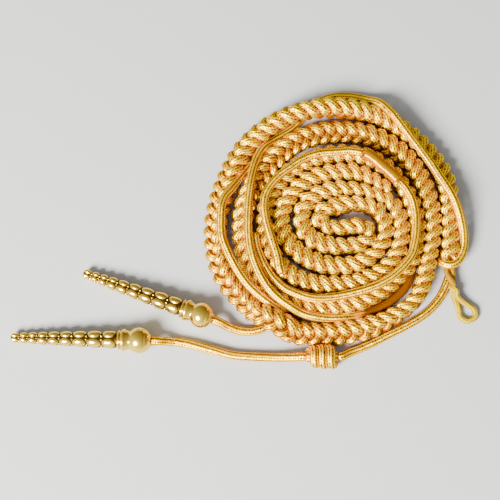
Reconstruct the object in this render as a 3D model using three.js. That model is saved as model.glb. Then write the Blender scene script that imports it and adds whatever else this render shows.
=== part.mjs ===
// An aiguillette: a long three-strand plait coiled flat, thin cords laid over it,
// two metal points on cord tails, and a loop that buttons it on.
// Millimetres, +Z up. It lies on the plane Z = 0, +X to the right and +Y away from the viewer.
// The origin is on that plane, below the middle of the whole thing.

import * as THREE from 'three';

// The plait: three strands that cross each other, narrow when it stands on its edge
const STRAND_RADIUS = 2.4;
const EDGE_SWING = 3.9;        // how far a strand goes either side along the plait's wide way
const FACE_SWING = 2.2;        // and along its narrow way
const BRAID_LENGTH = 21;       // one strand's full swing; a lump shows every third of it
const CORE_RADIUS = 3.3;       // between the strands the plait is filled to here
const PLAIT_SIDES = 8;
const BEDDING = 0.7;           // how far the soft underside is flattened by the surface
const END_TAPER = 7;           // length over which a plait's end is drawn in
const END_SHARE = 0.6;         // what a drawn-in end keeps of its thickness
const RING_STEP = BRAID_LENGTH / 6;
const ROUTE_SAMPLES = 4000;    // how finely the plait's long route is measured

// Thin knitted cord, and the round cord of the loop
const CORD_DIAMETER = 4.8;
const LOOP_DIAMETER = 2.4;
const CORD_SIDES = 8;
const CORD_STEP = 9.6;         // from one ring of a cord to the next
const DIPPING_CORD_STEP = 6.7; // the same on the cord that climbs over and under
const LOOP_STEP = 2.64;

const CLEARANCE = 0.3;         // left between pieces that touch

// The metal points, from the tip: chased rows, a ringed collar, a neck and the ball
const POINT_LENGTH = 82;
const TIP_RADIUS = 1.9;
const COLLAR = [
  { radius: 4.6, at: 62.6 },
  { radius: 6.0, at: 64.2 },
  { radius: 5.3, at: 65.4 },
  { radius: 6.4, at: 66.6 },
  { radius: 6.4, at: 68.0 },
  { radius: 4.2, at: 69.0 },
];
const BALL_RADIUS = 7;
const BALL_MIDDLE = 75.6;
const BALL_LATITUDES = [-50, -25, 0, 25, 50];
const MOUTH_RADIUS = 2.6;      // where the cord goes into the ball
const POINT_SIDES = 12;

// The silk sleeve and the knot
const SLEEVE_DIAMETER = 7.2;
const SLEEVE_STEP = 5;
const SLEEVE_SIDES = 10;
const KNOT_LENGTH = 16.4;
const KNOT_WRAPS = 3;
const KNOT_RADIUS = 7.3;
const KNOT_GROOVE_RADIUS = 6.2;
const KNOT_END_RADIUS = 5.2;
const KNOT_FLATTENING = 0.84;  // its height as a share of its width

// Places below are measured on the surface from a point left of the coil;
// the middle of the whole outline, which becomes the origin, is here
const OUTLINE_MIDDLE = { x: 1.1, y: 2.5 };
const COIL_CENTRE = { x: 56, y: 2.6 };

// Where each turn of the plait lies: its distance from the coil's centre in each compass direction,
// in degrees from +X. The first four columns run anticlockwise towards the middle, and the last runs
// clockwise back out from it.
const TURNS = [
  { direction: 0, first: 67.0, second: 57.4, third: 47.9, fourth: 38.3, outward: 28.7 },
  { direction: 22.5, first: 70.0, second: 57.8, third: 46.8, fourth: 35.3, outward: 25.3 },
  { direction: 45, first: 72.8, second: 60.0, third: 47.0, fourth: 28.4, outward: 18.8 },
  { direction: 67.5, first: 74.6, second: 61.0, third: 46.5, fourth: 25.2, outward: 15.5 },
  { direction: 90, first: 74.5, second: 59.4, third: 44.8, fourth: 23.4, outward: 12.8 },
  { direction: 112.5, first: 75.4, second: 56.8, third: 43.6, fourth: 23.0, outward: 33.3 },
  { direction: 135, first: 74.0, second: 54.0, third: 43.2, fourth: 23.0, outward: 33.0 },
  { direction: 157.5, first: 73.5, second: 54.6, third: 44.0, fourth: 22.3, outward: 33.6 },
  { direction: 180, first: 74.0, second: 56.0, third: 43.6, fourth: 20.8, outward: 33.6 },
  { direction: 202.5, first: 73.0, second: 57.2, third: 43.2, fourth: 19.0, outward: 31.2 },
  { direction: 225, first: 71.4, second: 57.0, third: 42.2, fourth: 16.0, outward: 28.0 },
  { direction: 247.5, first: 69.5, second: 53.5, third: 39.5, fourth: 13.2, outward: 25.5 },
  { direction: 270, first: 64.8, second: 49.6, third: 37.0, fourth: 12.4, outward: 25.0 },
  { direction: 292.5, first: 63.4, second: 48.6, third: 37.2, fourth: 13.2, outward: 26.0 },
  { direction: 315, first: 63.0, second: 48.4, third: 38.4, fourth: null, outward: 27.8 },
  { direction: 337.5, first: 58.4, second: 48.7, third: 38.9, fourth: null, outward: 29.2 },
];
const HEAD = [{ x: 121.6, y: -18.6 }, { x: 122.6, y: -8 }];
const MIDDLE = [{ x: 69, y: -9 }, { x: 74.7, y: -3 }, { x: 69.5, y: 2.6 }, { x: 60, y: 2.7 },
  { x: 51, y: 2.6 }, { x: 44.8, y: 8.7 }, { x: 50.5, y: 15 }];
const HIDDEN_END = [{ x: 56, y: 37.1 }, { x: 70, y: 36.4 }, { x: 82.4, y: 28.9 }, { x: 88.6, y: 23.2 }];

// How the plait leans: 0 stands on its edge, positive shows its outer face, negative its inner face
const LEANS = [
  { turn: 'first', from: 112.5, to: 135, lean: 25 },
  { turn: 'first', from: 157.5, to: 270, lean: 50 },
  { turn: 'first', from: 292.5, to: 292.5, lean: 30 },
  { turn: 'second', from: 45, to: 67.5, lean: -25 },
  { turn: 'second', from: 90, to: 157.5, lean: -55 },
  { turn: 'second', from: 180, to: 225, lean: -20 },
];

// Where a turn is lifted by a cord that passes under it
const BRIDGES = [
  { turn: 'first', direction: 90, rise: 5 },
  { turn: 'first', direction: 112.5, rise: 5 },
  { turn: 'first', direction: 231, rise: 6.2 },
  { turn: 'first', direction: 242, rise: 6.2 },
];

// Routes of the thin cords and the loop, as points along their middles
const OUTER_CORD = [
  [116.4, -21.6, 3.4], [118.6, -23.8, 5.8], [121.6, -24.6, 7.4], [126.2, -22.4, 7.6], [130, -15.5, 7.6],
  [130.9, -8, 8], [129.6, 1, 11], [126.8, 10.5, 14], [123.3, 19, 15], [117.5, 29, 15.2],
  [112, 38.5, 15.2], [106.5, 47, 15.2], [101, 55, 15.2], [95.5, 63.6, 15], [89.9, 72, 14],
  [83.9, 79, 10.8], [77.5, 83, 5.5], [67, 86, 2.8], [56, 85.6, 2.5], [47, 82.6, 2.5], [40, 77, 2.5],
  [34.8, 71.2, 2.5], [30, 66.3, 2.5], [24.5, 62.3, 2.6], [18, 57.6, 4], [12.2, 51.5, 8], [8.8, 45.3, 10],
  [6.4, 37.5, 12.5], [4.5, 27.9, 14.5], [3.3, 18.3, 14.8], [2.7, 5.7, 14.8], [3, -6.7, 14.8],
  [4.5, -15.9, 14.8], [7.5, -25.1, 14.8], [11, -32.3, 14.8], [15.6, -38.9, 14.8], [21.2, -44.3, 14.6],
  [27.2, -48.4, 14], [33, -51.4, 12], [38.8, -53.3, 11.6], [47.5, -54.2, 10.2], [56.2, -53.8, 9],
  [62, -53, 7.4], [68, -51.5, 5], [73.9, -49.8, 2.8], [80, -47.3, 2.5], [86, -44.2, 2.5],
  [91.9, -39.9, 2.6], [96.5, -35.3, 6.4], [98.9, -30.4, 12],
];
const INNER_CORD = [
  [22.4, -29.3, 13.5], [21, -25.4, 14.5], [20, -19.6, 15], [17.2, -10.5, 15.2], [13.9, 0.5, 15.3],
  [12.2, 9.8, 15.3], [12.8, 17.5, 15.3], [15.8, 23.9, 15.3], [21.9, 31, 15.3], [27.9, 35.5, 15.3],
  [34, 40, 15.3], [40, 42.9, 15.3], [46, 44.7, 15.3], [58, 45.9, 15.3], [64.2, 46.4, 15.4],
  [72, 45.1, 15.6],
];
const SLEEVE = [
  [73, 44.6, 15.6], [76, 42.8, 15.8], [82.9, 36.6, 15.9], [89.8, 30, 15.8], [92, 27.5, 15.6],
];
const INNER_CORD_RETURN = [
  [92.2, 27.2, 15.6], [96.3, 22.2, 15.4], [99.6, 16, 15.2], [101.3, 8.5, 15.1], [101.5, 0.5, 15.1],
  [100.6, -8.7, 15], [98.2, -17.5, 15], [93.8, -23.8, 15], [88.2, -29.3, 14.8], [82.1, -33.6, 14.4],
  [73.3, -37.6, 14], [61.6, -41, 13.2], [50, -43.2, 13.2], [41.4, -43.5, 13.2], [35.6, -42.4, 13.2],
  [29.9, -40.3, 13], [24.1, -37.3, 11.8], [18.4, -32.1, 11.4], [13.8, -25.6, 11], [9.8, -17.7, 11.2],
  [7.6, -10.5, 11.6], [6.6, -3.8, 11.8],
];
const BRIDGING_CORD = [
  [12.5, 52.6, 2.5], [9.1, 48.9, 2.5], [4.3, 42.6, 2.6], [0.4, 36.5, 4.6], [-3.3, 30.4, 7.6],
  [-6.9, 24.2, 11], [-11.2, 17.9, 13], [-13, 11.4, 14], [-13.2, 5, 14], [-13.1, -1.1, 14],
  [-12.3, -7.5, 14], [-9.6, -14.6, 14], [-6.7, -20.7, 14], [-3, -27.2, 14], [1.2, -33.3, 14],
  [5.9, -38.5, 14], [10.9, -42.7, 13.4], [15.7, -45.9, 11.8], [20.6, -48.4, 9.4], [25, -51, 7.8],
];
const UPPER_TAIL = [
  [-16.1, -55.5, 7.4], [-13.6, -56.4, 6.8], [-8.6, -58.6, 4.2], [-1.9, -60.6, 2.6], [5, -60.9, 2.5],
  [11, -59.4, 2.5], [17, -57, 2.5], [22.5, -55, 2.5], [29, -52.7, 2.5], [34, -51.8, 2.5],
];
const LOWER_TAIL = [
  [-52.1, -67.2, 7.4], [-49, -67.2, 6.8], [-44, -67.1, 4.4], [-38.6, -67.5, 2.8], [-33, -68.5, 2.5],
  [-26, -70.5, 2.5], [-15, -73.8, 2.5], [-7, -76, 2.5], [6.8, -76.6, 2.5], [20, -76.4, 3],
  [28, -76.3, 4.6], [33.4, -76.2, 5.9], [36.8, -76.2, 6.2],
];
const LOWER_TAIL_END = [
  [53.9, -76.2, 6.2], [56.8, -75.9, 5.9], [61.4, -73.5, 3.7], [67.6, -71, 2.7], [76.5, -67, 2.5],
  [85.4, -62.4, 2.5], [91.3, -59.6, 2.5], [97.2, -56.4, 2.5], [103.3, -52.8, 2.5], [109.4, -48, 2.5],
  [115.6, -40.8, 2.5], [119.8, -33, 2.5], [122, -27, 2.5],
];
const KNOT_MIDDLE = { x: 45.3, y: -76.2, z: 6.2 };
const LOOP = [
  [119.2, -28.2, 6.6], [119.8, -31.5, 6.6], [121.2, -35, 6.2], [123.4, -38.6, 4.8], [127, -42.2, 3],
  [132.2, -44.8, 1.6], [135.9, -48.6, 1.3], [135.8, -53.2, 1.3], [132, -55.8, 1.3], [128, -53, 1.3],
  [126, -47.6, 1.3], [124.6, -42.2, 1.5], [124.3, -37.4, 2.2], [124.3, -33.5, 4.4], [124.3, -31, 6],
  [124.3, -28.2, 6.6],
];
const UPPER_POINT = { tip: [-94, -27.4, 3], cordEnd: [-16.9, -55.2, 7.4] };
const LOWER_POINT = { tip: [-134.8, -64.8, 3], cordEnd: [-52.5, -67.2, 7.4] };

// The chased rows of a metal point, from its tip: where each row is, and its greatest radius
const CHASED_ROWS = [
  { middle: 2.6, radius: 2.9 },
  { middle: 7.6, radius: 3.3 },
  { middle: 13.0, radius: 3.6 },
  { middle: 18.6, radius: 3.9 },
  { middle: 25.4, radius: 4.2 },
  { middle: 32.6, radius: 4.5 },
  { middle: 40.6, radius: 4.8 },
  { middle: 49.4, radius: 5.1 },
  { middle: 58.4, radius: 5.2 },
];
const ROW_GROOVE = 0.8;        // depth of the groove between two rows
const OVALS_IN_ROW = 6;
const OVAL_RELIEF = 0.09;      // how far an oval stands up, as a share of the radius

function material(color, roughness, metalness) {
  return new THREE.MeshStandardMaterial({ color, roughness, metalness });
}

const plaitGold = material(0xd9a441, 0.5, 0.35);
const cordGold = material(0xe0b860, 0.55, 0.3);
const yellowCord = material(0xe8c020, 0.6, 0.1);
const silk = material(0xf2a818, 0.3, 0.1);
const polishedGold = material(0xc9a24a, 0.25, 1.0);

function vector([x, y, z]) {
  return new THREE.Vector3(x, y, z);
}

function leanOf(turn, direction) {
  const covers = (row) => row.turn === turn && direction >= row.from && direction <= row.to;
  return LEANS.find(covers)?.lean ?? 0;
}

// Half the height of the plait's section when it leans
function halfHeight(lean) {
  const angle = THREE.MathUtils.degToRad(lean);
  const edge = (EDGE_SWING + STRAND_RADIUS) * Math.cos(angle);
  const face = (FACE_SWING + STRAND_RADIUS) * Math.sin(angle);
  return Math.hypot(edge, face) - BEDDING;
}

function stationOnTurn(turn, direction, distance) {
  const angle = THREE.MathUtils.degToRad(direction);
  const x = COIL_CENTRE.x + distance * Math.cos(angle);
  const y = COIL_CENTRE.y + distance * Math.sin(angle);
  const bridge = BRIDGES.find((each) => each.turn === turn && each.direction === direction);
  return { x, y, lean: leanOf(turn, direction), rise: bridge ? bridge.rise : 0 };
}

// One turn's stations: the table's rows, with one more for each bridge that falls between two rows
function turnStations(turn) {
  const rows = TURNS.filter((row) => row[turn] !== null);
  const stations = [];
  rows.forEach((row, index) => {
    stations.push(stationOnTurn(turn, row.direction, row[turn]));
    const next = rows[index + 1];
    const between = BRIDGES.filter((each) => next && each.turn === turn
      && each.direction > row.direction && each.direction < next.direction);
    for (const { direction } of between) {
      const share = (direction - row.direction) / (next.direction - row.direction);
      stations.push(stationOnTurn(turn, direction, THREE.MathUtils.lerp(row[turn], next[turn], share)));
    }
  });
  return stations;
}

// All stations of the plait, from the head to its hidden end
function plaitStations() {
  const flat = (point) => ({ ...point, lean: 0, rise: 0 });
  const inward = ['first', 'second', 'third', 'fourth'].flatMap(turnStations);
  const outward = TURNS.map((row) => stationOnTurn('outward', row.direction, row.outward));
  const start = TURNS.findIndex((row) => row.direction === 90);
  const clockwise = outward.map((_, index) => outward[(start - index + outward.length) % outward.length]);
  return [...HEAD.map(flat), ...inward, ...MIDDLE.map(flat), ...clockwise, ...HIDDEN_END.map(flat)];
}

// Even steps along the plait, each with its place, its direction and its lean
function walkPlait(stations, step) {
  const middle = stations.map(({ x, y, lean, rise }) => new THREE.Vector3(x, y, halfHeight(lean) + rise));
  const curve = new THREE.CatmullRomCurve3(middle);
  curve.arcLengthDivisions = ROUTE_SAMPLES;
  const length = curve.getLength();
  const count = Math.round(length / step);
  const steps = [];
  for (let i = 0; i <= count; i += 1) {
    const t = curve.getUtoTmapping(i / count);
    const place = t * (stations.length - 1);
    const before = Math.min(Math.floor(place), stations.length - 2);
    const lean = THREE.MathUtils.lerp(stations[before].lean, stations[before + 1].lean, place - before);
    const at = (length * i) / count;
    steps.push({ at, place, point: curve.getPoint(t), tangent: curve.getTangent(t), lean });
  }
  return steps;
}

// How far the plait reaches from its middle, at a distance along it and in one direction of its section
function plaitReach(at, across, along) {
  let reach = CORE_RADIUS;
  for (let strand = 0; strand < 3; strand += 1) {
    const phase = 2 * Math.PI * (at / BRAID_LENGTH + strand / 3);
    const u = FACE_SWING * Math.sin(2 * phase);
    const v = EDGE_SWING * Math.sin(phase);
    const forward = u * across + v * along;
    const inside = STRAND_RADIUS ** 2 - (u * u + v * v) + forward ** 2;
    if (inside > 0) reach = Math.max(reach, forward + Math.sqrt(inside));
  }
  return reach;
}

// The corners of the plait's section at one step, flattened where they meet the surface
function plaitRing(step, shrink) {
  const left = new THREE.Vector3(0, 0, 1).cross(step.tangent).normalize();
  const up = step.tangent.clone().cross(left);
  const lean = THREE.MathUtils.degToRad(step.lean);
  const corners = [];
  for (let side = 0; side < PLAIT_SIDES; side += 1) {
    const angle = (2 * Math.PI * (side + 0.5)) / PLAIT_SIDES;
    const across = -(Math.cos(angle) * Math.cos(lean) + Math.sin(angle) * Math.sin(lean));
    const along = Math.sin(angle) * Math.cos(lean) - Math.cos(angle) * Math.sin(lean);
    const reach = plaitReach(step.at, across, along) * shrink;
    const corner = step.point.clone();
    corner.addScaledVector(left, -Math.cos(angle) * reach);
    corner.addScaledVector(up, Math.sin(angle) * reach);
    corner.z = Math.max(corner.z, 0);
    corners.push(corner);
  }
  return corners;
}

// A closed skin through rings of corners, with a flat fan at each end
function skin(rings) {
  const sides = rings[0].length;
  const sumOf = (ring) => ring.reduce((sum, corner) => sum.add(corner), new THREE.Vector3());
  const middleOf = (ring) => sumOf(ring).divideScalar(sides);
  const points = [...rings.flat(), middleOf(rings[0]), middleOf(rings.at(-1))];
  const faces = [];
  for (let ring = 0; ring + 1 < rings.length; ring += 1) {
    for (let side = 0; side < sides; side += 1) {
      const a = ring * sides + side;
      const b = ring * sides + ((side + 1) % sides);
      faces.push(a, a + sides, b, b, a + sides, b + sides);
    }
  }
  const last = (rings.length - 1) * sides;
  for (let side = 0; side < sides; side += 1) {
    const next = (side + 1) % sides;
    faces.push(rings.length * sides, side, next);
    faces.push(rings.length * sides + 1, last + next, last + side);
  }
  const geometry = new THREE.BufferGeometry().setFromPoints(points);
  geometry.setIndex(faces);
  geometry.computeVertexNormals();
  return geometry;
}

// A stretch of the plait, drawn in at an end that is free
function plait(steps, freeStart, freeEnd) {
  const first = steps[0].at;
  const last = steps.at(-1).at;
  const rings = steps.map((step) => {
    const fromStart = freeStart ? (step.at - first) / END_TAPER : 1;
    const fromEnd = freeEnd ? (last - step.at) / END_TAPER : 1;
    const nearest = Math.min(fromStart, fromEnd, 1);
    return plaitRing(step, END_SHARE + (1 - END_SHARE) * Math.sqrt(nearest));
  });
  return skin(rings);
}

function disc(radius, sides) {
  const shape = new THREE.Shape();
  for (let side = 0; side < sides; side += 1) {
    const angle = (2 * Math.PI * (side + 0.5)) / sides;
    const corner = [radius * Math.cos(angle), radius * Math.sin(angle)];
    if (side === 0) shape.moveTo(...corner);
    else shape.lineTo(...corner);
  }
  shape.closePath();
  return shape;
}

// A round cord along its route, in even steps
function cord(route, diameter, step, sides = CORD_SIDES) {
  const curve = new THREE.CatmullRomCurve3(route.map(vector));
  const steps = Math.max(3, Math.round(curve.getLength() / step));
  const along = { steps, extrudePath: curve, bevelEnabled: false };
  return new THREE.ExtrudeGeometry(disc(diameter / 2, sides), along);
}

// A turned solid about +Y; where a profile row has lobes, its radius goes in and out round it
function turned(profile, sides) {
  const points = profile.map(({ radius, at }) => new THREE.Vector2(radius, at));
  const geometry = new THREE.LatheGeometry(points, sides);
  const position = geometry.getAttribute('position');
  for (let index = 0; index < position.count; index += 1) {
    const { lobes } = profile[index % profile.length];
    if (lobes) {
      const angle = (2 * Math.PI * Math.floor(index / profile.length)) / sides;
      const swell = 1 + OVAL_RELIEF * Math.cos(lobes * angle);
      position.setX(index, position.getX(index) * swell);
      position.setZ(index, position.getZ(index) * swell);
    }
  }
  return geometry;
}

function pointProfile() {
  const profile = [{ radius: 0, at: 0 }, { radius: TIP_RADIUS, at: 0 }];
  CHASED_ROWS.forEach((row, index) => {
    const next = CHASED_ROWS[index + 1];
    profile.push({ radius: row.radius * (1 - OVAL_RELIEF), at: row.middle, lobes: OVALS_IN_ROW });
    if (next) profile.push({ radius: row.radius - ROW_GROOVE, at: (row.middle + next.middle) / 2 });
  });
  profile.push(...COLLAR);
  for (const latitude of BALL_LATITUDES) {
    const angle = THREE.MathUtils.degToRad(latitude);
    profile.push({ radius: BALL_RADIUS * Math.cos(angle), at: BALL_MIDDLE + BALL_RADIUS * Math.sin(angle) });
  }
  profile.push({ radius: MOUTH_RADIUS, at: POINT_LENGTH }, { radius: 0, at: POINT_LENGTH });
  return profile;
}

// The barrel of the knot: a swelling for each wrap, full over the middle half of its width
function knotProfile() {
  const wrap = KNOT_LENGTH / KNOT_WRAPS;
  const profile = [{ radius: 0, at: -KNOT_LENGTH / 2 }, { radius: KNOT_END_RADIUS, at: -KNOT_LENGTH / 2 }];
  for (let index = 0; index < KNOT_WRAPS; index += 1) {
    const middle = (index - (KNOT_WRAPS - 1) / 2) * wrap;
    profile.push({ radius: KNOT_RADIUS, at: middle - wrap / 4 });
    profile.push({ radius: KNOT_RADIUS, at: middle + wrap / 4 });
    if (index + 1 < KNOT_WRAPS) profile.push({ radius: KNOT_GROOVE_RADIUS, at: middle + wrap / 2 });
  }
  profile.push({ radius: KNOT_END_RADIUS, at: KNOT_LENGTH / 2 }, { radius: 0, at: KNOT_LENGTH / 2 });
  return profile;
}

const aiguillette = new THREE.Group();
aiguillette.position.set(-OUTLINE_MIDDLE.x, -OUTLINE_MIDDLE.y, 0);

function add(name, geometry, finish) {
  const mesh = new THREE.Mesh(geometry, finish);
  mesh.name = name;
  aiguillette.add(mesh);
  return mesh;
}

function addPoint(name, { tip, cordEnd }) {
  const mesh = add(name, turned(pointProfile(), POINT_SIDES), polishedGold);
  const axis = vector(cordEnd).sub(vector(tip)).normalize();
  mesh.position.copy(vector(tip));
  mesh.quaternion.setFromUnitVectors(new THREE.Vector3(0, 1, 0), axis);
}

function addKnot() {
  const mesh = add('barrel_knot', turned(knotProfile(), POINT_SIDES), cordGold);
  mesh.rotation.z = -Math.PI / 2;
  mesh.scale.z = KNOT_FLATTENING;
  mesh.position.set(KNOT_MIDDLE.x, KNOT_MIDDLE.y, KNOT_MIDDLE.z);
}

const steps = walkPlait(plaitStations(), RING_STEP);
const thirdTurn = HEAD.length + turnStations('first').length + turnStations('second').length;
const outerSteps = steps.filter((step) => step.place <= thirdTurn);
const join = outerSteps.at(-1);
const pastJoin = { ...join, point: join.point.clone().addScaledVector(join.tangent, CLEARANCE) };
const innerSteps = [pastJoin, ...steps.slice(outerSteps.length)];
add('plait_outer_turns', plait(outerSteps, true, false), plaitGold);
add('plait_inner_coil', plait(innerSteps, false, true), plaitGold);

add('outer_cord', cord(OUTER_CORD, CORD_DIAMETER, DIPPING_CORD_STEP), cordGold);
add('inner_cord', cord(INNER_CORD, CORD_DIAMETER, CORD_STEP), cordGold);
add('inner_cord_return', cord(INNER_CORD_RETURN, CORD_DIAMETER, CORD_STEP), cordGold);
add('bridging_cord', cord(BRIDGING_CORD, CORD_DIAMETER, CORD_STEP), cordGold);
add('silk_sleeve', cord(SLEEVE, SLEEVE_DIAMETER, SLEEVE_STEP, SLEEVE_SIDES), silk);
add('upper_tail_cord', cord(UPPER_TAIL, CORD_DIAMETER, CORD_STEP), cordGold);
add('lower_tail_cord', cord(LOWER_TAIL, CORD_DIAMETER, CORD_STEP), cordGold);
add('lower_tail_end', cord(LOWER_TAIL_END, CORD_DIAMETER, CORD_STEP), cordGold);
add('button_loop', cord(LOOP, LOOP_DIAMETER, LOOP_STEP), yellowCord);
addKnot();
addPoint('upper_ferrule', UPPER_POINT);
addPoint('lower_ferrule', LOWER_POINT);

export default aiguillette;
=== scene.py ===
"""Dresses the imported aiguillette: plait, thin cords, sleeve, knot, button loop and metal points.

Lengths are in metres. The part lies on the plane Z = 0, with the metal points towards -X
and the button loop towards +X.
"""

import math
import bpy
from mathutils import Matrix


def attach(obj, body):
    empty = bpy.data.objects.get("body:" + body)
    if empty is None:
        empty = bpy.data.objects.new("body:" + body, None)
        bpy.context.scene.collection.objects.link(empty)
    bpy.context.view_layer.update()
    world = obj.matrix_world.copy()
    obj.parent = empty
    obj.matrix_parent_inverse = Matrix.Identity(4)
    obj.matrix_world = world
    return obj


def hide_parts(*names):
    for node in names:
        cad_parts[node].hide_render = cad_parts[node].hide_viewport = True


bl_info = {
    "name": "Aiguillette",
    "version": (1, 0, 0),
    "blender": (4, 5, 0),
    "location": "3D View > Sidebar > Aiguillette",
    "description": "Builds a coiled ceremonial shoulder cord with its metal points",
    "category": "Object",
}

from collections import namedtuple

import bmesh
import bpy
import numpy as np
from bpy.props import FloatProperty, FloatVectorProperty, IntProperty, PointerProperty
from bpy.types import NodeSocket, Operator, Panel, PropertyGroup, Scene
from mathutils import Matrix, Vector
from numpy.linalg import norm

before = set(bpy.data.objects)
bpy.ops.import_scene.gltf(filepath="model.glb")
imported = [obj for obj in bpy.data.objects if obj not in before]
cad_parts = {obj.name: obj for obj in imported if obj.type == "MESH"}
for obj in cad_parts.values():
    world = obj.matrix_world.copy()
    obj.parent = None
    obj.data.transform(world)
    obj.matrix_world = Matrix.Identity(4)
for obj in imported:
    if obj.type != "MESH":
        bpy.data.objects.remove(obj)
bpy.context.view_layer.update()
WEAVE = "weave"  # the UV map on every cord: millimetres along it, and ribs round it
# The finishes paint shade by this depth, darker in seams, low spots and undersides; on the metal
# points it also marks tarnishing.
DEPTH = "depth"  # how deep a spot lies, from 0 to 1: in raised work, in a seam or low down
TO_MILLIMETRES = 1000

# Places are measured from a point left of the coil; the part's own origin is here
OUTLINE_MIDDLE = Vector((0.0011, 0.0025, 0.0))
COIL_CENTRE = (0.056, 0.0026)

# The plait's solid, whose middle line is followed here
SOLID_STRAND_RADIUS = 0.0024
SOLID_EDGE_SWING = 0.0039
SOLID_FACE_SWING = 0.0022
BEDDING = 0.0007  # how far the soft underside is flattened by the surface
OTHER_TURN = 0.03  # steps further apart than this along the plait are on two of its turns
FULL_SHARE = 0.89  # how much of its widest reach the plait fills on average
SPREAD_BLEND = 0.018  # length over which its spread changes
END_TAPER = 0.0045  # length over which a plait's end is drawn in
END_SHARE = 0.88  # what a drawn-in end keeps of its thickness
SEAM_DEPTH = 0.8  # how much painted shade the seam between two strands takes
PRESS_SHARPNESS = 7  # how sharply a strand's round side turns into its pressed side
LEAST_FACING = 0.02  # what another strand still counts for on the far side
CROWN_SOFTNESS = 0.0008  # softens a strand's crown where it crosses the plait's middle
LOW_SIDE = 0.0045  # how far below its middle the plait's thread takes its fullest painted shade
PLAIT_WIDTH = 0.0122  # where it has its usual spread

# The thin cords
CURVE_SAMPLES = 24  # points from one of a route's to the next
SIDES_PER_RIB = 4
CORD_STEP = 0.001  # length of one ring of a thin cord
CREST_SHARE = 1.08  # width over the ribs' crests, as a share of diameter
GAP_REACH = 0.064  # a cord nearer than this to the coil's centre, and low, lies in a gap
SUNK_BELOW = 0.009  # there it takes painted shade, once its middle is lower than this
SUNK_REACH = 0.005  # and takes it fully this much lower
LOOP_STEP = 0.0006
SLEEVE_STEP = 0.0004
SLEEVE_BULGE = 0.025  # how far its winding swells and narrows, as a share of its thickness
SLEEVE_BULGES = 5  # from end to end, out and in by turns
SLEEVE_FLATNESS = 0.94

# Where each turn of the plait lies: its distance from the coil's centre in each direction, from X
# round. The first four run anticlockwise inwards, and the last runs clockwise back out.
Turn = namedtuple("Turn", "direction first second third fourth outward")
TURNS = [
    Turn(0, 0.067, 0.0574, 0.0479, 0.0383, 0.0287),
    Turn(22.5, 0.0716, 0.0578, 0.0468, 0.0353, 0.0253),
    Turn(45, 0.0728, 0.06, 0.047, 0.0284, 0.0188),
    Turn(67.5, 0.0746, 0.061, 0.0463, 0.0241, 0.014),
    Turn(90, 0.0738, 0.0602, 0.0445, 0.0221, 0.011),
    Turn(112.5, 0.074, 0.059, 0.0434, 0.0219, 0.0324),
    Turn(135, 0.0744, 0.0564, 0.0432, 0.0224, 0.0326),
    Turn(157.5, 0.0714, 0.0558, 0.044, 0.0223, 0.0336),
    Turn(180, 0.0724, 0.0564, 0.0436, 0.0208, 0.0336),
    Turn(202.5, 0.0736, 0.0572, 0.0432, 0.019, 0.0312),
    Turn(225, 0.0714, 0.057, 0.0422, 0.016, 0.028),
    Turn(247.5, 0.0695, 0.0535, 0.0395, 0.0142, 0.0262),
    Turn(270, 0.0648, 0.0496, 0.037, 0.0136, 0.0258),
    Turn(292.5, 0.0636, 0.0482, 0.0372, 0.0142, 0.0266),
    Turn(315, 0.0632, 0.0478, 0.0384, None, 0.0278),
    Turn(337.5, 0.0576, 0.0487, 0.0389, None, 0.0292),
]
HEAD = [(0.1216, -0.0192), (0.1228, -0.008)]
MIDDLE = [(0.069, -0.0102), (0.0755, -0.004), (0.0701, 0.0014), (0.06, 0.0006), (0.051, 0.0007),
          (0.0448, 0.0068), (0.0505, 0.0131)]
HIDDEN_END = [(0.056, 0.0355), (0.07, 0.035), (0.082, 0.0281), (0.0886, 0.0232)]

# Where the plait is drawn narrower: at its fold, and beside the cord in the south-east gap
Narrowing = namedtuple("Narrowing", "place reach share")
NARROWINGS = [
    Narrowing((0.06, 0.0007), 0.0125, 0.94),
    Narrowing((0.0823, -0.0468), 0.013, 0.9),
    Narrowing((0.0935, -0.039), 0.014, 0.88),
    Narrowing((0.1024, -0.0287), 0.009, 1.0),
]

# How the plait leans: 0 stands on its edge, positive shows its outer face, negative its inner face
Lean = namedtuple("Lean", "turn start end degrees")
LEANS = [
    Lean("first", 112.5, 135, 25),
    Lean("first", 157.5, 270, 50),
    Lean("first", 292.5, 292.5, 30),
    Lean("second", 45, 67.5, -25),
    Lean("second", 90, 157.5, -55),
    Lean("second", 180, 225, -20),
]

# Where a turn is lifted by a cord that passes under it
Bridge = namedtuple("Bridge", "turn direction rise")
BRIDGES = [
    Bridge("first", 90, 0.005),
    Bridge("first", 112.5, 0.005),
    Bridge("first", 231, 0.0062),
    Bridge("first", 242, 0.0062),
]

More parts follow.
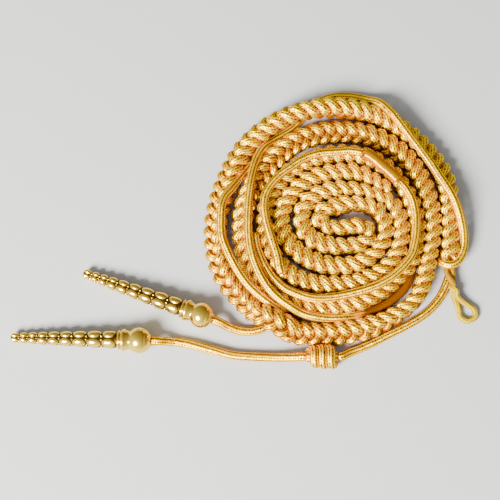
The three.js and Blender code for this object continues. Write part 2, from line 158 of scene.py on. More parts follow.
# Routes of the thin cords and the loop, as points along their middles
OUTER_CORD = [
    (0.1148, -0.0135, 0.0026), (0.1152, -0.0175, 0.0034), (0.1174, -0.0208, 0.006),
    (0.1212, -0.0223, 0.0078), (0.1258, -0.0205, 0.008), (0.1293, -0.0148, 0.008),
    (0.1307, -0.0075, 0.0084), (0.1295, 0.001, 0.011), (0.1268, 0.0105, 0.014),
    (0.1233, 0.019, 0.015), (0.1175, 0.029, 0.0152), (0.112, 0.0385, 0.0152),
    (0.1065, 0.047, 0.0152), (0.101, 0.055, 0.0152), (0.0955, 0.0636, 0.015),
    (0.0899, 0.072, 0.014), (0.0839, 0.0795, 0.0108), (0.0775, 0.084, 0.0055),
    (0.067, 0.0874, 0.0028), (0.056, 0.0872, 0.0025), (0.047, 0.0838, 0.0025),
    (0.04, 0.0778, 0.0025), (0.0348, 0.0712, 0.0025), (0.03, 0.0663, 0.0025),
    (0.0245, 0.0623, 0.0026), (0.018, 0.0576, 0.004), (0.0122, 0.0515, 0.008),
    (0.0088, 0.0453, 0.01), (0.0064, 0.0375, 0.0125), (0.0045, 0.0279, 0.0145),
    (0.0033, 0.0183, 0.0148), (0.0027, 0.0057, 0.0148), (0.003, -0.0067, 0.0148),
    (0.0045, -0.0159, 0.0148), (0.0075, -0.0251, 0.0148), (0.011, -0.0323, 0.0148),
    (0.0156, -0.0389, 0.0148), (0.0212, -0.0443, 0.0146), (0.0272, -0.0484, 0.014),
    (0.033, -0.0514, 0.012), (0.0388, -0.0533, 0.0116), (0.0475, -0.0542, 0.0102),
    (0.0562, -0.0538, 0.009), (0.062, -0.053, 0.0072), (0.068, -0.0514, 0.005),
    (0.0739, -0.0495, 0.0036), (0.08, -0.047, 0.0032), (0.0858, -0.0437, 0.0032),
    (0.0912, -0.0394, 0.0032), (0.0954, -0.035, 0.0032), (0.0978, -0.0308, 0.003),
    (0.0984, -0.0266, 0.003), (0.0978, -0.0225, 0.003)
]
INNER_CORD = [
    (0.0224, -0.0293, 0.0135), (0.021, -0.0254, 0.0145), (0.02, -0.0196, 0.015),
    (0.0172, -0.0105, 0.0152), (0.0139, 0.0005, 0.0153), (0.0122, 0.0098, 0.0153),
    (0.0128, 0.0175, 0.0153), (0.0158, 0.0239, 0.0153), (0.0219, 0.031, 0.0153),
    (0.0279, 0.0355, 0.0153), (0.034, 0.04, 0.0153), (0.04, 0.0429, 0.0153),
    (0.046, 0.0447, 0.0153), (0.058, 0.0459, 0.0153), (0.0642, 0.0464, 0.0154),
    (0.072, 0.0451, 0.0156)
]
SLEEVE = [
    (0.073, 0.0446, 0.0156), (0.076, 0.0428, 0.0158), (0.0829, 0.0366, 0.0159),
    (0.0898, 0.03, 0.0158), (0.092, 0.0275, 0.0156)
]
INNER_CORD_RETURN = [
    (0.0922, 0.0272, 0.0156), (0.0963, 0.0222, 0.0154), (0.0996, 0.016, 0.0152),
    (0.1013, 0.0085, 0.0151), (0.1015, 0.0005, 0.0151), (0.1006, -0.0087, 0.015),
    (0.0982, -0.0175, 0.015), (0.0938, -0.0238, 0.015), (0.0882, -0.0293, 0.0148),
    (0.0821, -0.0336, 0.0144), (0.0733, -0.0376, 0.014), (0.0616, -0.041, 0.0132),
    (0.05, -0.0432, 0.0132), (0.0414, -0.0435, 0.0132), (0.0356, -0.0424, 0.0132),
    (0.0299, -0.0403, 0.013), (0.0241, -0.0373, 0.0118), (0.0184, -0.0321, 0.0114),
    (0.0138, -0.0256, 0.011), (0.0098, -0.0177, 0.0112), (0.0076, -0.0105, 0.0116),
    (0.0066, -0.0038, 0.0118)
]
BRIDGING_CORD = [
    (0.0125, 0.0526, 0.0025), (0.0091, 0.0489, 0.0025), (0.0043, 0.0426, 0.0026),
    (0.0004, 0.0365, 0.0046), (-0.0033, 0.0304, 0.0076), (-0.0069, 0.0242, 0.011),
    (-0.0112, 0.0179, 0.013), (-0.013, 0.0114, 0.014), (-0.0132, 0.005, 0.014),
    (-0.0131, -0.0011, 0.014), (-0.0123, -0.0075, 0.014), (-0.0096, -0.0146, 0.014),
    (-0.0067, -0.0207, 0.014), (-0.003, -0.0272, 0.014), (0.0012, -0.0333, 0.014),
    (0.0059, -0.0385, 0.014), (0.0109, -0.0427, 0.0134), (0.0157, -0.0459, 0.0118),
    (0.0206, -0.0484, 0.0094), (0.025, -0.051, 0.0078)
]
UPPER_TAIL = [
    (-0.0183, -0.0547, 0.0074), (-0.0136, -0.0564, 0.0068), (-0.0086, -0.0586, 0.0042),
    (-0.0019, -0.0606, 0.0026), (0.005, -0.0609, 0.0025), (0.011, -0.0594, 0.0025),
    (0.017, -0.057, 0.0025), (0.0225, -0.055, 0.0025), (0.029, -0.0527, 0.0025),
    (0.034, -0.0518, 0.0025)
]
LOWER_TAIL = [
    (-0.0542, -0.0671, 0.0074), (-0.049, -0.0672, 0.0068), (-0.044, -0.0671, 0.0044),
    (-0.0386, -0.0673, 0.0028), (-0.033, -0.068, 0.0025), (-0.026, -0.0697, 0.0025),
    (-0.015, -0.0727, 0.0025), (-0.007, -0.0748, 0.0025), (0.0068, -0.0758, 0.0025),
    (0.02, -0.0762, 0.003), (0.028, -0.0763, 0.0046), (0.0334, -0.0762, 0.0059),
    (0.0368, -0.0762, 0.0062)
]
LOWER_TAIL_END = [
    (0.0539, -0.0762, 0.0062), (0.0568, -0.0759, 0.0059), (0.0614, -0.0735, 0.0037),
    (0.0676, -0.071, 0.0027), (0.0765, -0.067, 0.0025), (0.0854, -0.0624, 0.0025),
    (0.0913, -0.0596, 0.0025), (0.0972, -0.0564, 0.0025), (0.1033, -0.0528, 0.0025),
    (0.1094, -0.048, 0.0025), (0.1156, -0.0408, 0.0025), (0.1198, -0.033, 0.0025),
    (0.122, -0.027, 0.0025)
]
LOOP = [
    (0.12, -0.0214, 0.0042), (0.1202, -0.0262, 0.0046), (0.1216, -0.0302, 0.0058),
    (0.1236, -0.034, 0.0052), (0.1228, -0.0374, 0.0034), (0.1237, -0.0404, 0.0021),
    (0.125, -0.0436, 0.0019), (0.1264, -0.0478, 0.0018), (0.1271, -0.0524, 0.0018),
    (0.1313, -0.0547, 0.0018), (0.1357, -0.0526, 0.0018), (0.1358, -0.0484, 0.0018),
    (0.1323, -0.0456, 0.0021), (0.128, -0.0428, 0.0032), (0.1252, -0.04, 0.0044),
    (0.1248, -0.0372, 0.0058), (0.122, -0.034, 0.003), (0.1235, -0.0302, 0.0034),
    (0.1238, -0.0262, 0.0042), (0.1236, -0.0214, 0.0042)
]
KNOT_MIDDLE = (0.0453, -0.0762, 0.0062)
UPPER_POINT = ((-0.0946, -0.0263, 0.003), (-0.0172, -0.055, 0.00785))
LOWER_POINT = ((-0.1348, -0.0648, 0.003), (-0.0525, -0.0672, 0.00785))

Line = namedtuple("Line", "along middle side up")  # steps along a cord, with its section's axes
Tube = namedtuple("Tube", "rings along ribs depth")  # rings of corners, to be skinned


def setting(kind, **more):
    """Makes the settings of one kind, each from its name, its description and its default."""
    return lambda name, description, default: kind(name=name, description=description,
                                                   default=default, **more)


size = setting(FloatProperty, unit="LENGTH")
colour = setting(FloatVectorProperty, subtype="COLOR", min=0, max=1)
number = setting(FloatProperty)
whole_number = setting(IntProperty)


class PlaitSettings(PropertyGroup):
    strand_radius: size("Strand radius", "Radius of one of the three strands", 0.0027)
    edge_swing: size("Edge swing", "A strand's swing along the plait's wide way", 0.0038)
    face_swing: size("Face swing", "A strand's swing along its narrow way", 0.0028)
    least_spread: number("Least spread", "Width share where turns press together", 0.84)
    most_spread: number("Most spread", "Width share where a turn has room", 1.13)
    braid_length: size("Braid length", "Length of one strand's full swing", 0.021)
    fine_cords: whole_number("Fine cords", "Fine cords round a strand", 10)
    groove: size("Groove", "Depth of the groove between two fine cords", 0.00036)
    step: size("Step", "Length of one ring of the mesh", 0.001)


class CordSettings(PropertyGroup):
    diameter: size("Diameter", "Width of a thin cord", 0.0048)
    flatness: number("Flatness", "Height of a cord as a share of its width", 0.9)
    ribs: whole_number("Ribs", "Knitted ribs round a cord", 8)
    groove: size("Groove", "Depth of the groove between two ribs", 0.0003)
    twist: number("Twist", "Turns of the ribs in a metre", 1.6)
    loop_diameter: size("Loop diameter", "Thickness of the button loop's cord", 0.0035)
    sleeve_diameter: size("Sleeve diameter", "Thickness of the silk sleeve", 0.0072)


class PointSettings(PropertyGroup):
    length: size("Length", "Length of a metal point with its ball", 0.082)
    ball_radius: size("Ball radius", "Radius of the ball", 0.0074)
    ovals: whole_number("Ovals", "Raised ovals round a row", 4)
    relief: size("Relief", "Height of a small bead, about half an oval's", 0.00075)


class ColourSettings(PropertyGroup):
    thread: colour("Thread", "Gold thread of the plait", (0.86, 0.46, 0.0))
    bright: colour("Bright thread", "Palest thread on the ribs", (1.0, 0.76, 0.0))
    # Painted shade: the thread's tone in seams, low spots and undersides.
    shaded_thread: colour("Deep thread", "Thread between the ribs", (0.2, 0.058, 0.0))
    cord: colour("Cord", "Gold thread of the thin cords", (0.85, 0.37, 0.0))
    stitch: colour("Stitch", "Dark core thread between the stitches", (0.05, 0.014, 0.0))
    loop: colour("Loop", "Cord of the button loop", (0.44, 0.325, 0.0))
    # Painted shade on the button loop's legs, which lie in shade.
    leg_shade: colour("Amber", "Darker dye of the button loop's legs", (0.22, 0.085, 0.0))
    silk: colour("Silk", "Winding of the sleeve", (0.5, 0.235, 0.0))
    metal: colour("Metal", "Polished gold of the points", (0.82, 0.56, 0.07))


class StageSettings(PropertyGroup):
    floor: colour("Floor", "Colour of the floor", (0.376, 0.386, 0.376))
    key: number("Key light", "Strength of the window light", 195.0)
    sky: number("Sky", "Strength of the light from all round", 0.85)


def settings(name):
    return getattr(bpy.context.scene, "aiguillette_" + name)


# Routes and sections

def to_part(places):
    """A place in the layout, or a list of them, in the part's own frame."""
    return np.array(places) - np.array(OUTLINE_MIDDLE)


def smooth(points, spacing):
    """Even steps along the smooth curve through some points, and where each step is among them.

    It is the centripetal spline that the CAD tubes follow."""
    given = np.array(points, float)
    padded = np.vstack([2 * given[0] - given[1], given, 2 * given[-1] - given[-2]])
    t = np.linspace(0, 1, CURVE_SAMPLES, endpoint=False)[:, None]
    curve = []
    for p0, p1, p2, p3 in zip(padded, padded[1:], padded[2:], padded[3:]):
        d0, d1, d2 = (math.sqrt(norm(b - a)) for a, b in ((p0, p1), (p1, p2), (p2, p3)))
        start = ((p1 - p0) / d0 - (p2 - p0) / (d0 + d1) + (p2 - p1) / d1) * d1
        end = ((p2 - p1) / d1 - (p3 - p1) / (d1 + d2) + (p3 - p2) / d2) * d1
        curve.append(p1 + start * t + (3 * (p2 - p1) - 2 * start - end) * t ** 2
                     + (2 * (p1 - p2) + start + end) * t ** 3)
    curve = np.vstack(curve + [given[-1:]])
    measured = lengths(curve)
    count = max(2, round(measured[-1] / spacing))
    at = np.linspace(0, measured[-1], count + 1)
    place = np.interp(at, measured, np.arange(len(curve)) / CURVE_SAMPLES)
    return at, np.column_stack([np.interp(at, measured, axis) for axis in curve.T]), place


def lengths(points):
    """Distance along a line of points, at each of them."""
    return np.append(0, np.cumsum(norm(np.diff(points, axis=0), axis=1)))


def unit(vectors):
    return vectors / norm(vectors, axis=-1, keepdims=True)


def square_to(tangent, axis):
    """What is left of an axis across the way along, at each step."""
    return unit(axis - np.sum(axis * tangent, axis=1, keepdims=True) * tangent)


def axes_along(middle):
    """The level axis and the rising axis of a cord's section, at each step."""
    tangent = unit(np.gradient(middle, axis=0))
    side = unit(np.cross((0, 0, 1), tangent))
    return side, np.cross(tangent, side)


def cord_line(route, spacing):
    at, middle, _ = smooth(to_part(route), spacing)
    return Line(at, middle, *axes_along(middle))


def ribbed(angle, ribs, groove):
    """How far a section of round ribs stays inside its circle, at each angle."""
    return groove * (1 - np.abs(np.cos(ribs * angle / 2)))


def ribbed_tube(line, width, height, ribs, groove, twist=0.0, swell=None):
    """A tube of round ribs along a line; swell is its thickness at each step, as a share.

    For painted shade, its top counts as 0 and its underside as 1."""
    angle = np.linspace(0, 2 * math.pi, ribs * SIDES_PER_RIB, endpoint=False)
    turned = angle + 2 * math.pi * twist * line.along[:, None]
    inside = ribbed(angle, ribs, groove)
    share = (np.ones(len(line.along)) if swell is None else swell)[:, None]
    across = ((width / 2 - inside) * np.cos(turned) * share)[..., None]
    rise = ((height / 2 - inside) * np.sin(turned) * share)[..., None]
    rings = line.middle[:, None] + across * line.side[:, None] + rise * line.up[:, None]
    return Tube(rings, line.along, ribs, 0.5 - 0.5 * np.sin(turned))


def rounded_ends(along, reach, least):
    """Thickness along a piece whose two ends are rounded off over a short reach."""
    nearest = np.minimum(along, along[-1] - along) / reach
    return least + (1 - least) * np.sqrt(1 - (1 - np.clip(nearest, 0, 1)) ** 2)


def tube_piece(name, tubes, finish, node):
    """A dressed piece of closed tubes above the floor, with the weave's coordinates and depths."""
    vertices, depths, faces, coordinates, base = [], [], [], [], 0
    for rings, along, ribs, depth in tubes:
        count, sides = rings.shape[:2]
        index = base + np.arange(count * sides).reshape(count, sides)
        following = np.roll(index, -1, axis=1)
        quads = np.stack([index[:-1], following[:-1], following[1:], index[1:]], axis=-1)
        faces += quads.reshape(-1, 4).tolist() + [index[0, ::-1].tolist(), index[-1].tolist()]
        rib = np.linspace(0, ribs, sides + 1)
        spots = np.stack(np.broadcast_arrays(along[:, None] * TO_MILLIMETRES, rib), axis=-1)
        around = np.stack([spots[:-1, :-1], spots[:-1, 1:], spots[1:, 1:], spots[1:, :-1]], axis=2)
        coordinates += [around.reshape(-1, 2), spots[0, -2::-1], spots[-1, :-1]]
        vertices.append(rings.reshape(-1, 3))
        depths.append(depth.ravel())
        base += count * sides
    places = np.vstack(vertices)
    places[:, 2] = np.maximum(places[:, 2], 0.0)
    mesh = bpy.data.meshes.new(name)
    mesh.from_pydata(places.tolist(), [], faces)
    mesh.uv_layers.new(name=WEAVE).data.foreach_set("uv", np.vstack(coordinates).ravel())
    mesh.attributes.new(DEPTH, "FLOAT", "POINT").data.foreach_set("value", np.concatenate(depths))
    mesh.shade_smooth()
    return dress(add_object(name, mesh), finish, node)


def add_object(name, data):
    added = bpy.data.objects.new(name, data)
    bpy.context.scene.collection.objects.link(added)
    return added


def finished_mesh(name, shape):
    """The mesh of a bmesh shape that is done."""
    mesh = bpy.data.meshes.new(name)
    shape.to_mesh(mesh)
    shape.free()
    return mesh


def dress(piece, material, node):
    """Gives a piece its material and its body, and hides the CAD part that it stands for."""
    piece.data.materials.append(material)
    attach(piece, "root")
    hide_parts(node)
    return piece


# The plait

def lean_of(turn, direction):
    for row in LEANS:
        if row.turn == turn and row.start <= direction <= row.end:
            return row.degrees
    return 0


def half_height(degrees):
    """Half the height of the plait's section when it leans."""
    angle = math.radians(degrees)
    edge = (SOLID_EDGE_SWING + SOLID_STRAND_RADIUS) * math.cos(angle)
    face = (SOLID_FACE_SWING + SOLID_STRAND_RADIUS) * math.sin(angle)
    return math.hypot(edge, face) - BEDDING


def station(turn, direction, distance):
    angle = math.radians(direction)
    rise = sum(row.rise for row in BRIDGES if row.turn == turn and row.direction == direction)
    x = COIL_CENTRE[0] + distance * math.cos(angle)
    y = COIL_CENTRE[1] + distance * math.sin(angle)
    return x, y, lean_of(turn, direction), rise


def turn_stations(turn):
    """One turn's stations: the table's rows, with one more for each bridge between two rows."""
    rows = [(row.direction, getattr(row, turn)) for row in TURNS if getattr(row, turn) is not None]
    directions, distances = zip(*rows)
    bridges = [row.direction for row in BRIDGES if row.turn == turn]
    return [station(turn, direction, float(np.interp(direction, directions, distances)))
            for direction in sorted(set(directions) | set(bridges))]


def plait_stations():
    def flat(points):
        return [(x, y, 0, 0) for x, y in points]

    inward = [each for turn in Turn._fields[1:5] for each in turn_stations(turn)]
    outward = {row.direction: station("outward", row.direction, row.outward) for row in TURNS}
    ordered = sorted(outward, key=lambda direction: (90 - direction) % 360)
    back_out = [outward[direction] for direction in ordered]
    return flat(HEAD) + inward + flat(MIDDLE) + back_out + flat(HIDDEN_END)


def plait_line(step):
    """The plait's middle with its section's axes, and where each step is among the stations."""
    stations = plait_stations()
    middle = [to_part((x, y, half_height(lean) + rise)) for x, y, lean, rise in stations]
    at, points, place = smooth(middle, step)
    leans = np.interp(place, np.arange(len(stations)), [row[2] for row in stations])
    leans = np.radians(leans)[:, None]
    side, up = axes_along(points)
    left = side * np.cos(leans) - up * np.sin(leans)
    edge = up * np.cos(leans) + side * np.sin(leans)
    return Line(at, points, left, edge), place, side


def spread_of(line, plait):
    """How far the soft plait spreads sideways at each step: as far as the turns beside it allow."""
    plan = line.middle[:, :2]
    between = norm(plan[:, None] - plan[None], axis=-1)
    other_turn = np.abs(line.along[:, None] - line.along[None]) > OTHER_TURN
    room = np.where(other_turn, between, 1.0).min(axis=1) / 2
    width = np.hypot(line.side[:, 2] * (plait.edge_swing + plait.strand_radius),
                     line.up[:, 2] * (plait.face_swing + plait.strand_radius))
    spread = np.clip(room / (width * FULL_SHARE), plait.least_spread, plait.most_spread)
    for row in NARROWINGS:
        near = norm(plan - to_part((*row.place, 0))[:2], axis=1) < row.reach
        spread[near] = row.share
    window = np.hanning(round(SPREAD_BLEND / plait.step))
    margin = len(window) // 2
    blended = np.convolve(np.pad(spread, margin, mode="edge"), window / window.sum(), "same")
    return blended[margin:margin + len(spread)]


def strand_middles(line, plait):
    """The middles of the three strands, drawn together at the plait's two ends."""
    share = rounded_ends(line.along, END_TAPER, END_SHARE)[:, None]
    middles = []
    for strand in range(3):
        phase = 2 * math.pi * (line.along / plait.braid_length + strand / 3)[:, None]
        middles.append(line.middle + share * (plait.face_swing * np.sin(2 * phase) * line.side
                                              + plait.edge_swing * np.sin(phase) * line.up))
    return middles


def nearest_offsets(middle, other, window):
    """From each step of one strand, the way to the nearest step of another."""
    count = len(middle)
    best = other - middle
    for shift in range(-window, window + 1):
        matched = np.clip(np.arange(count) + shift, 0, count - 1)
        offset = other[matched] - middle
        closer = norm(offset, axis=1) < norm(best, axis=1)
        best[closer] = offset[closer]
    return best


def strand_tube(middles, which, plait, line):
    """One strand's rings: round, ribbed by its fine cords, and pressed flat against the others."""
    middle = middles[which]
    tangent = unit(np.gradient(middle, axis=0))
    side = square_to(tangent, line.side)
    up = np.cross(tangent, side)
    angle = np.linspace(0, 2 * math.pi, plait.fine_cords * SIDES_PER_RIB, endpoint=False)
    outward = np.cos(angle)[:, None] * side[:, None] + np.sin(angle)[:, None] * up[:, None]
    share = rounded_ends(line.along, END_TAPER, least=0.3)[:, None]
    alone = (share * plait.strand_radius) ** -PRESS_SHARPNESS
    crowding = alone
    window = round(plait.braid_length / plait.step / 3)
    for other in range(3):
        if other != which:
            offset = nearest_offsets(middle, middles[other], window)
            distance = norm(offset, axis=1)[:, None]
            facing = np.einsum("nsk,nk->ns", outward, offset) / distance
            pressed = np.maximum(facing, LEAST_FACING) / (distance / 2)
            crowding = crowding + pressed ** PRESS_SHARPNESS
    inside = ribbed(angle, plait.fine_cords, plait.groove) * share
    radius = crowding ** (-1 / PRESS_SHARPNESS) - inside
    # painted shade: least on a strand's crown, which faces away from the plait's middle, most in
    # its seams, where it presses on other strands
    away = middle - line.middle
    reach = norm(away, axis=1)[:, None] + CROWN_SOFTNESS
    crown = np.einsum("nsk,nk->ns", outward, away) / reach
    depth = SEAM_DEPTH * np.clip(0.5 - 0.5 * crown + 0.5 * (1 - alone / crowding), 0, 1)
    rings = middle[:, None] + radius[..., None] * outward
    return Tube(rings, lengths(middle), plait.fine_cords, depth)


def spread_out(tube, line, level, spread):
    """The strand's rings, moved away from the plait's middle on the level by the plait's spread.

    What lies low in the gap between two turns takes painted shade too."""
    aside = np.einsum("nsk,nk->ns", tube.rings - line.middle[:, None], level)
    moved = (aside * (spread - 1)[:, None])[..., None] * level[:, None]
    below = (line.middle[:, None, 2] - tube.rings[..., 2]) / LOW_SIDE
    depth = np.maximum(tube.depth, np.clip(0.5 + 0.5 * below, 0, 1))
    return tube._replace(rings=tube.rings + moved, depth=depth)


# Finishes

GOLD_TINT = (1.0, 0.8, 0.1, 1.0)  # of the gloss on gold thread
STITCH_DRIFT = 2.5  # how far the stitches stray from even rows, in stitches
SILK_PITCH = 0.45  # millimetres from one turn of the sleeve's silk to the next
NEAR_LEG = (14, 19)  # millimetres from the loop's start where the painted shade on its leg fades out
FAR_LEG = (17, 12)  # and from its end where it fades in again


class Nodes:
    """A node tree being put together."""

    def __init__(self, tree):
        self.nodes, self.links = tree.nodes, tree.links

    def put(self, value, socket):
        if isinstance(value, NodeSocket):
            self.links.new(value, socket)
        else:
            socket.default_value = value

    def node(self, kind, inputs=(), **choices):
        """A new node with its choices made, and its inputs linked or set."""
        node = self.nodes.new("ShaderNode" + kind)
        for name, value in choices.items():
            setattr(node, name, value)
        for socket, value in dict(inputs).items():
            self.put(value, node.inputs[socket])
        return node

    def math(self, operation, *values):
        return self.node("Math", enumerate(values), operation=operation).outputs[0]

    def add(self, first, second):
        return self.math("ADD", first, second)

    def times(self, first, second):
        return self.math("MULTIPLY", first, second)

    def rest(self, share):
        """What a share leaves of 1."""
        return self.math("SUBTRACT", 1.0, share)


class Finish(Nodes):
    """A material being put together; most calls add a node and give its output."""

    def __init__(self, name, **sockets):
        self.material = bpy.data.materials.new(name)
        self.material.use_nodes = True
        super().__init__(self.material.node_tree)
        self.shader = self.nodes["Principled BSDF"]
        for socket, value in sockets.items():
            self.shader.inputs[socket.replace("_", " ")].default_value = value

    def mix(self, share, first, second):
        # sockets by number, since this node's share their names
        inputs = {0: share, 6: opaque(first), 7: opaque(second)}
        return self.node("Mix", inputs, data_type="RGBA").outputs[2]

    def between(self, value, low, high):
        """0 below low, 1 above high and smooth between."""
        inputs = {"Value": value, "From Min": low, "From Max": high}
        return self.node("MapRange", inputs, interpolation_type="SMOOTHSTEP").outputs[0]

    def weave(self):
        """Millimetres along a cord, and ribs round it."""
        source = self.node("UVMap", uv_map=WEAVE)
        return self.node("SeparateXYZ", {0: source.outputs[0]}).outputs[:2]

    def noise(self, scale):
        """Unevenness over the piece, finer the larger its scale, and 0.5 on average."""
        place = self.node("TexCoord").outputs["Object"]
        return self.node("TexNoise", {"Vector": place, "Scale": scale}).outputs[0]

    def attribute(self, name):
        return self.node("Attribute", attribute_name=name).outputs["Fac"]

    def bump(self, height, distance, strength):
        node = self.node("Bump", {"Height": height, "Distance": distance, "Strength": strength})
        self.put(node.outputs[0], self.shader.inputs["Normal"])

    def colour(self, value):
        self.put(opaque(value), self.shader.inputs["Base Color"])

    def roughness(self, value):
        self.put(value, self.shader.inputs["Roughness"])


def opaque(colour):
    return colour if isinstance(colour, NodeSocket) else (*colour, 1.0)


def knitted_finish(name, stitch_length, thread, bright, shaded_thread, stitch, shade, steady, metallic=0.95,
                   deepest_shade=None):
    """Ribs of metallic thread: slanting stitches on each rib, with dark core thread in the grooves.

    It is pale on the crowns, with painted shade in the grooves, seams, low spots and undersides,
    the sooner the higher shade is; what lies lower than a seam takes the darkest painted shade.
    Steady is the share of the dark thread that shows all along a groove; the rest shows as dots
    at the stitches."""
    made = Finish(name, Metallic=metallic, Specular_Tint=GOLD_TINT)
    along, rib = made.weave()
    depth = made.attribute(DEPTH)
    # 0 on the crest of a rib, 1 in the groove beside it
    groove = made.times(made.math("PINGPONG", rib, 0.5), 2.0)
    stagger = made.times(made.math("FLOOR", rib), 0.5)
    slant = made.add(made.math("DIVIDE", along, stitch_length), made.times(groove, 0.3))
    drift = made.times(made.noise(260.0), STITCH_DRIFT)
    phase = made.math("FRACT", made.add(made.add(slant, stagger), drift))
    height = made.math("SINE", made.times(phase, math.pi))
    uneven = made.noise(900.0)
    gap = made.rest(height)
    # painted shade in the grooves between fine cords and the gaps between stitches
    low = made.add(made.times(groove, 0.55), made.times(gap, 0.15))
    shaded = made.add(low, made.times(depth, shade))
    stitched = made.times(made.between(gap, 0.1, 0.5), made.between(uneven, 0.28, 0.46))
    stitched = made.add(steady, made.times(stitched, 1.0 - steady))
    dotted = made.times(stitched, made.between(groove, 0.4, 0.65))
    dotted = made.times(dotted, made.rest(made.between(depth, 0.3, 0.6)))
    # painted shade: pale crests, the thread's tone on flanks, darker in seams, low spots and
    # undersides
    body = made.mix(made.between(shaded, 0.3, 0.8), bright, thread)
    body = made.mix(made.between(shaded, 0.95, 1.45), body, shaded_thread)
    body = made.mix(made.between(depth, SEAM_DEPTH, 1.0), body, deepest_shade or shaded_thread)
    # the thread round a dark stitch is redder than the crowns
    redder = (0.7 * thread[0], 0.52 * thread[1], 0.0)
    body = made.mix(made.between(dotted, 0.0, 0.6), body, redder)
    made.colour(made.mix(made.between(dotted, 0.35, 1.0), body, stitch))
    dull = made.times(made.between(depth, 0.3, 0.7), 0.35)
    made.roughness(made.add(dull, made.add(0.3, made.times(uneven, 0.25))))
    made.bump(made.add(height, made.times(uneven, 0.6)), 0.00015, 1.0)
    return made


def cord_finish():
    colours = settings("colours")
    # Its darker tones are painted shade, on the undersides and where a cord lies low in a gap of
    # the coil.
    return bpy.data.materials.get("Knitted gold cord") or knitted_finish(
        "Knitted gold cord", stitch_length=1.4, thread=colours.cord, bright=(1.0, 0.66, 0.0),
        shaded_thread=colours.shaded_thread, stitch=colours.stitch, shade=1.0, steady=0.4).material


def plait_finish():
    colours = settings("colours")
    # Its two darkest tones are painted shade: in the seams, and most where the plait lies low
    # between its turns.
    return knitted_finish(
        "Plaited gold thread", stitch_length=1.5, thread=colours.thread, bright=colours.bright,
        shaded_thread=colours.shaded_thread, stitch=(0.14, 0.042, 0.0), shade=2.2, steady=0.1,
        deepest_shade=(0.72, 0.125, 0.0)).material


def loop_finish(length):
    """Yellow knitted cord, darker by painted shade on its two legs and its underside; length is in
    millimetres.
    """
    colours = settings("colours")
    made = knitted_finish(
        "Yellow cord", stitch_length=0.9, thread=(0.38, 0.26, 0.0), bright=colours.loop,
        shaded_thread=(0.22, 0.1, 0.0), stitch=(0.14, 0.06, 0.0), shade=0.8, steady=0.3, metallic=0.1)
    along, _ = made.weave()
    near_leg = made.rest(made.between(along, *NEAR_LEG))
    far_leg = made.between(along, *(length - place for place in FAR_LEG))
    knitted = made.shader.inputs["Base Color"].links[0].from_socket
    # the two legs take painted shade, fading out along them
    made.colour(made.mix(made.times(made.add(near_leg, far_leg), 0.9), knitted, colours.leg_shade))
    return made.material


def silk_finish(colour):
    """Glossy thread wound close round the cord."""
    made = Finish("Wound silk", Metallic=0.85, Specular_Tint=GOLD_TINT)
    along, _ = made.weave()
    thread = made.math("SINE", made.times(along, 2 * math.pi / SILK_PITCH))
    uneven = made.noise(500.0)
    # painted shade: orange on the sides and underside of the sleeve, with random unevenness
    side = made.add(made.attribute(DEPTH), made.times(uneven, 0.2))
    made.colour(made.mix(made.between(side, 0.1, 0.45), colour, (0.5, 0.17, 0.0)))
    made.roughness(made.add(0.16, made.times(uneven, 0.14)))
    made.bump(made.add(thread, made.times(uneven, 2.5)), 0.00004, 0.5)
    return made.material


def metal_finish():
    """Polished gold, dull and dark low in its raised work: tarnished in part, and in part painted
    shade and painted dark reflection.
    """
    made = Finish("Polished gold", Metallic=1.0)
    # dark low in the raised work: tarnishing, with painted shade and painted dark reflection
    tarnish_and_shade = made.between(made.attribute(DEPTH), 0.15, 0.7)
    made.colour(made.mix(tarnish_and_shade, settings("colours").metal, (0.05, 0.024, 0.003)))
    smudged = made.times(made.noise(220.0), 0.12)
    made.roughness(made.add(0.1, made.add(made.times(tarnish_and_shade, 0.3), smudged)))
    made.bump(made.noise(300.0), 0.0001, 0.35)
    return made.material


def floor_finish(colour):
    """A smooth pale board with a faint grain."""
    made = Finish("Pale board", Specular_IOR_Level=0.2)
    grain = made.noise(240.0)
    made.colour(made.mix(made.between(grain, 0.3, 0.7), colour, tuple(0.985 * c for c in colour)))
    made.roughness(0.75)
    made.bump(grain, 0.00005, 0.2)
    return made.material


# Stage

CAMERA_PLACE = (0.00282, -0.14833, 0.50228)
CAMERA_TARGET = (0.00282, -0.01374, 0.0)
CAMERA_LENS = 62.4
FLOOR_REACH = 2.0
WINDOW_PLACE = (-0.85, -1.0, 1.05)
WINDOW_TARGET = (0.02, 0.0, 0.0)
WINDOW_SIZE = 0.7
WINDOW_TONE = (1.0, 0.985, 0.96)
SKY_SLOPE = (0.32, 0.38, 0.0)  # from the bright south-west of the sky to its dark north-east
SKY_TONES = ((0.0, (2.3,) * 3), (0.5, (0.8,) * 3), (1.0, (0.26, 0.16, 0.1)))


def aim(thing, target):
    way = Vector(target) - thing.location
    thing.rotation_euler = way.to_track_quat("-Z", "Y").to_euler()


def add_window(energy):
    """One large soft light beside the camera's left."""
    lamp = bpy.data.lights.new("window", "AREA")
    lamp.shape, lamp.size, lamp.energy, lamp.color = "DISK", WINDOW_SIZE, energy, WINDOW_TONE
    light = add_object("window", lamp)
    light.location = WINDOW_PLACE
    aim(light, WINDOW_TARGET)


def light_sky(strength):
    """Soft light from all round, brightest in the south-west."""
    world = bpy.data.worlds.new("Studio")
    bpy.context.scene.world = world
    world.use_nodes = True
    sky = Nodes(world.node_tree)
    way = sky.node("TexCoord").outputs["Generated"]
    toward = sky.node("VectorMath", {0: way, 1: SKY_SLOPE}, operation="DOT_PRODUCT")
    ramp = sky.node("ValToRGB", {0: sky.add(toward.outputs["Value"], 0.5)})
    ramp.color_ramp.elements.new(0.5)
    for element, (position, tone) in zip(ramp.color_ramp.elements, SKY_TONES):
        element.position, element.color = position, (*tone, 1)
    background = sky.nodes["Background"].inputs
    sky.put(strength, background["Strength"])
    sky.put(ramp.outputs[0], background["Color"])


